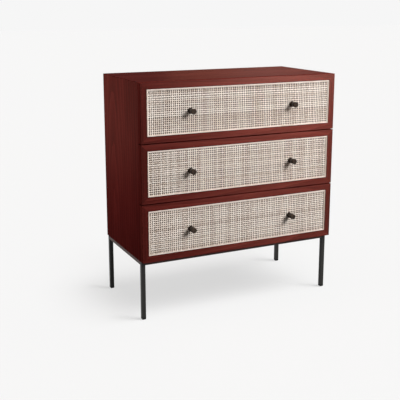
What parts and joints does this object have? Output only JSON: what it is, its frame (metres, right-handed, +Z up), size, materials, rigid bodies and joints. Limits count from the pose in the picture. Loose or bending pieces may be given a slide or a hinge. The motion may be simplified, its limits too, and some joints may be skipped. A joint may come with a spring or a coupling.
{
  "type": "chest of drawers",
  "caption": "Chest of drawers in dark red stained wood with framed cane fronts and small dark knobs, on a slim black square-tube steel base. Its drawers slide open to the front.",
  "frame": {"origin": "on the floor, below the centre of the chest's bounding box, knobs included", "axes": "+Z up, +X to the right seen from the front, +Y from the drawer fronts to the back"},
  "size_m": [0.8, 0.418, 0.87],
  "materials": {
    "stained_wood": "dark red stain under a satin lacquer, fine open grain",
    "back_wood": "thin board stained to match, flat",
    "plywood": "clear lacquered pale wood",
    "cane": "natural woven cane, matt",
    "bead": "pale cane spline, satin",
    "bronze": "dark bronze, satin",
    "black_steel": "black powder coat, fine texture",
    "black_plastic": "matt black",
    "zinc_steel": "bright zinc plate"
  },
  "bodies": {
    "case": {"top_panel": "stained_wood", "left_side_panel": "stained_wood", "right_side_panel": "stained_wood", "bottom_panel": "stained_wood", "back_panel": "back_wood", "front_left_leg": "black_steel", "front_right_leg": "black_steel", "rear_left_leg": "black_steel", "rear_right_leg": "black_steel", "front_left_foot": "black_plastic", "front_right_foot": "black_plastic", "rear_left_foot": "black_plastic", "rear_right_foot": "black_plastic", "front_left_frame_screw": "black_steel", "front_right_frame_screw": "black_steel", "rear_left_frame_screw": "black_steel", "rear_right_frame_screw": "black_steel", "front_rail": "black_steel", "rear_rail": "black_steel", "left_rail": "black_steel", "right_rail": "black_steel", "lower_left_cabinet_runner": "zinc_steel", "lower_right_cabinet_runner": "zinc_steel", "middle_left_cabinet_runner": "zinc_steel", "middle_right_cabinet_runner": "zinc_steel", "upper_left_cabinet_runner": "zinc_steel", "upper_right_cabinet_runner": "zinc_steel"},
    "lower_drawer": {"lower_drawer_front": "stained_wood", "lower_cane_panel": "cane", "lower_cane_bead": "bead", "lower_left_knob": "bronze", "lower_right_knob": "bronze", "lower_box_left": "plywood", "lower_box_right": "plywood", "lower_box_back": "plywood", "lower_box_bottom": "plywood", "lower_left_drawer_runner": "zinc_steel", "lower_right_drawer_runner": "zinc_steel"},
    "middle_drawer": {"middle_drawer_front": "stained_wood", "middle_cane_panel": "cane", "middle_cane_bead": "bead", "middle_left_knob": "bronze", "middle_right_knob": "bronze", "middle_box_left": "plywood", "middle_box_right": "plywood", "middle_box_back": "plywood", "middle_box_bottom": "plywood", "middle_left_drawer_runner": "zinc_steel", "middle_right_drawer_runner": "zinc_steel"},
    "upper_drawer": {"upper_drawer_front": "stained_wood", "upper_cane_panel": "cane", "upper_cane_bead": "bead", "upper_left_knob": "bronze", "upper_right_knob": "bronze", "upper_box_left": "plywood", "upper_box_right": "plywood", "upper_box_back": "plywood", "upper_box_bottom": "plywood", "upper_left_drawer_runner": "zinc_steel", "upper_right_drawer_runner": "zinc_steel"}
  },
  "joints": [
    {"name": "lower_drawer_slide", "type": "slide", "parent": "case", "child": "lower_drawer", "axis": [0, -1, 0], "range_m": [0, 0.25]},
    {"name": "middle_drawer_slide", "type": "slide", "parent": "case", "child": "middle_drawer", "axis": [0, -1, 0], "range_m": [0, 0.25]},
    {"name": "upper_drawer_slide", "type": "slide", "parent": "case", "child": "upper_drawer", "axis": [0, -1, 0], "range_m": [0, 0.25]}
  ]
}
